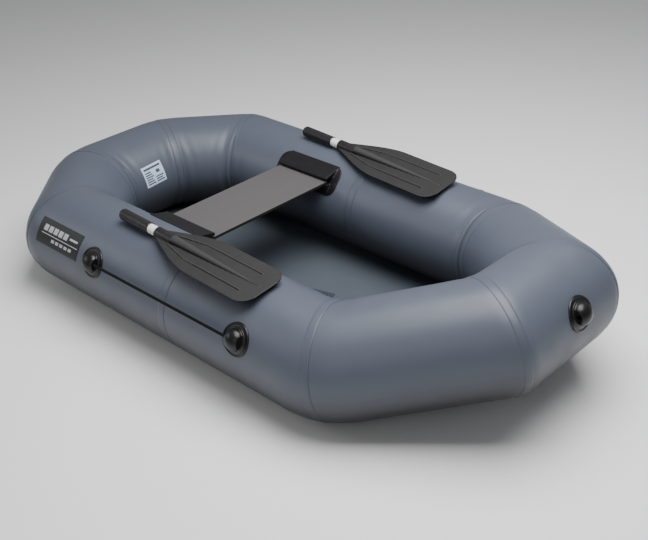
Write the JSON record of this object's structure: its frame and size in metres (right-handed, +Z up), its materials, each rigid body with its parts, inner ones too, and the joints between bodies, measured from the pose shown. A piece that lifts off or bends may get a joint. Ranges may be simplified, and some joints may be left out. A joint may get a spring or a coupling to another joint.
{
  "type": "inflatable dinghy",
  "caption": "Small inflatable rowing dinghy: a ring of round tubes with a raised bow, fabric floor, slide-in seat board, side lifelines, air valves and loose hand paddles.",
  "frame": {"origin": "on the underside of the floor sheet, on the centreline, below the mid-length bulkhead seams", "axes": "+X to the bow, +Y to port, +Z up"},
  "size_m": [1.9211, 1.0674, 0.3998],
  "materials": {
    "hull_pvc": "semi-matt coated fabric",
    "hull_seam_pvc": "semi-matt coated fabric",
    "floor_pvc": "semi-matt coated fabric",
    "floor_patch_pvc": "matt coated fabric",
    "printed_plate": "satin printed film",
    "printed_label": "satin printed film",
    "holder_rubber": "glossy moulded rubber",
    "rope": "braided cord",
    "seat_holder_pvc": "satin moulded vinyl",
    "board_paint": "matt grey coated board",
    "grip_plastic": "satin moulded plastic",
    "shaft_white": "white coated tube",
    "blade_plastic": "matt moulded plastic",
    "rivet_metal": "bare metal",
    "gasket_rubber": "soft rubber",
    "spring_steel": "bright wire",
    "tether_rubber": "soft vinyl",
    "valve_plastic": "satin moulded plastic"
  },
  "bodies": {
    "root": {"bow_corner_tube_port": "hull_pvc", "bow_corner_tube_starboard": "hull_pvc", "bow_tube": "hull_pvc", "bulkhead_port": "hull_pvc", "bulkhead_starboard": "hull_pvc", "bulkhead_strip_port": "hull_seam_pvc", "bulkhead_strip_starboard": "hull_seam_pvc", "data_label": "printed_label", "floor_bond_tape": "floor_patch_pvc", "floor_patch": "floor_patch_pvc", "floor_sheet": "floor_pvc", "lifeline_knots_port": "rope", "lifeline_knots_starboard": "rope", "lifeline_port": "rope", "lifeline_starboard": "rope", "maker_plate": "printed_plate", "rope_holder_bow_port": "holder_rubber", "rope_holder_bow_starboard": "holder_rubber", "rope_holder_stern_port": "holder_rubber", "rope_holder_stern_starboard": "holder_rubber", "seam_strip_bow_port": "hull_seam_pvc", "seam_strip_bow_starboard": "hull_seam_pvc", "seam_strip_quarter_port": "hull_seam_pvc", "seam_strip_quarter_starboard": "hull_seam_pvc", "seam_strip_shoulder_port": "hull_seam_pvc", "seam_strip_shoulder_starboard": "hull_seam_pvc", "seam_strip_stern_port": "hull_seam_pvc", "seam_strip_stern_starboard": "hull_seam_pvc", "seat_holder_port": "seat_holder_pvc", "seat_holder_starboard": "seat_holder_pvc", "side_tube_port": "hull_pvc", "side_tube_starboard": "hull_pvc", "stern_corner_tube_port": "hull_pvc", "stern_corner_tube_starboard": "hull_pvc", "stern_tube": "hull_pvc", "tow_holder": "holder_rubber", "valve_body_bow": "valve_plastic", "valve_body_stern": "valve_plastic", "valve_gasket_bow": "gasket_rubber", "valve_gasket_stern": "gasket_rubber", "valve_nut_bow": "valve_plastic", "valve_nut_stern": "valve_plastic", "valve_spring_bow": "spring_steel", "valve_spring_stern": "spring_steel"},
    "seat_board": {"seat_board": "board_paint"},
    "paddle_starboard": {"paddle_blade_starboard": "blade_plastic", "paddle_grip_starboard": "grip_plastic", "paddle_rivet_starboard": "rivet_metal", "paddle_shaft_starboard": "shaft_white"},
    "paddle_port": {"paddle_blade_port": "blade_plastic", "paddle_grip_port": "grip_plastic", "paddle_rivet_port": "rivet_metal", "paddle_shaft_port": "shaft_white"},
    "valve_tether_bow": {"valve_tether_bow": "tether_rubber"},
    "valve_cap_bow": {"valve_cap_bow": "valve_plastic"},
    "valve_stem_bow": {"valve_stem_bow": "valve_plastic"},
    "valve_tether_stern": {"valve_tether_stern": "tether_rubber"},
    "valve_cap_stern": {"valve_cap_stern": "valve_plastic"},
    "valve_stem_stern": {"valve_stem_stern": "valve_plastic"}
  },
  "joints": [
    {"name": "seat_board_slide", "type": "slide", "parent": "root", "child": "seat_board", "axis": [1, 0, 0], "range_m": [-0.2, 0.2]},
    {"name": "paddle_starboard_lift", "type": "slide", "parent": "root", "child": "paddle_starboard", "axis": [0, 0, 1], "range_m": [0, 0.4]},
    {"name": "paddle_port_lift", "type": "slide", "parent": "root", "child": "paddle_port", "axis": [0, 0, 1], "range_m": [0, 0.4]},
    {"name": "valve_tether_bow_swing", "type": "hinge", "parent": "root", "child": "valve_tether_bow", "pos_m": [0.33, -0.22554, 0.22707], "axis": [1, 0, 0], "range_deg": [0, 130]},
    {"name": "valve_cap_bow_twist", "type": "hinge", "parent": "valve_tether_bow", "child": "valve_cap_bow", "pos_m": [0.33, -0.21487, 0.19266], "axis": [0, 0.9659, 0.2588], "range_deg": [0, 90]},
    {"name": "valve_stem_bow_press", "type": "slide", "parent": "root", "child": "valve_stem_bow", "axis": [0, -0.9659, -0.2588], "range_m": [0, 0.0045], "stiffness_N_per_m": 400, "springref_m": -0.004, "deforming": ["valve_spring_bow"]},
    {"name": "valve_tether_stern_swing", "type": "hinge", "parent": "root", "child": "valve_tether_stern", "pos_m": [-0.45, -0.22554, 0.22707], "axis": [1, 0, 0], "range_deg": [0, 130]},
    {"name": "valve_cap_stern_twist", "type": "hinge", "parent": "valve_tether_stern", "child": "valve_cap_stern", "pos_m": [-0.45, -0.21487, 0.19266], "axis": [0, 0.9659, 0.2588], "range_deg": [0, 90]},
    {"name": "valve_stem_stern_press", "type": "slide", "parent": "root", "child": "valve_stem_stern", "axis": [0, -0.9659, -0.2588], "range_m": [0, 0.0045], "stiffness_N_per_m": 400, "springref_m": -0.004, "deforming": ["valve_spring_stern"]}
  ]
}
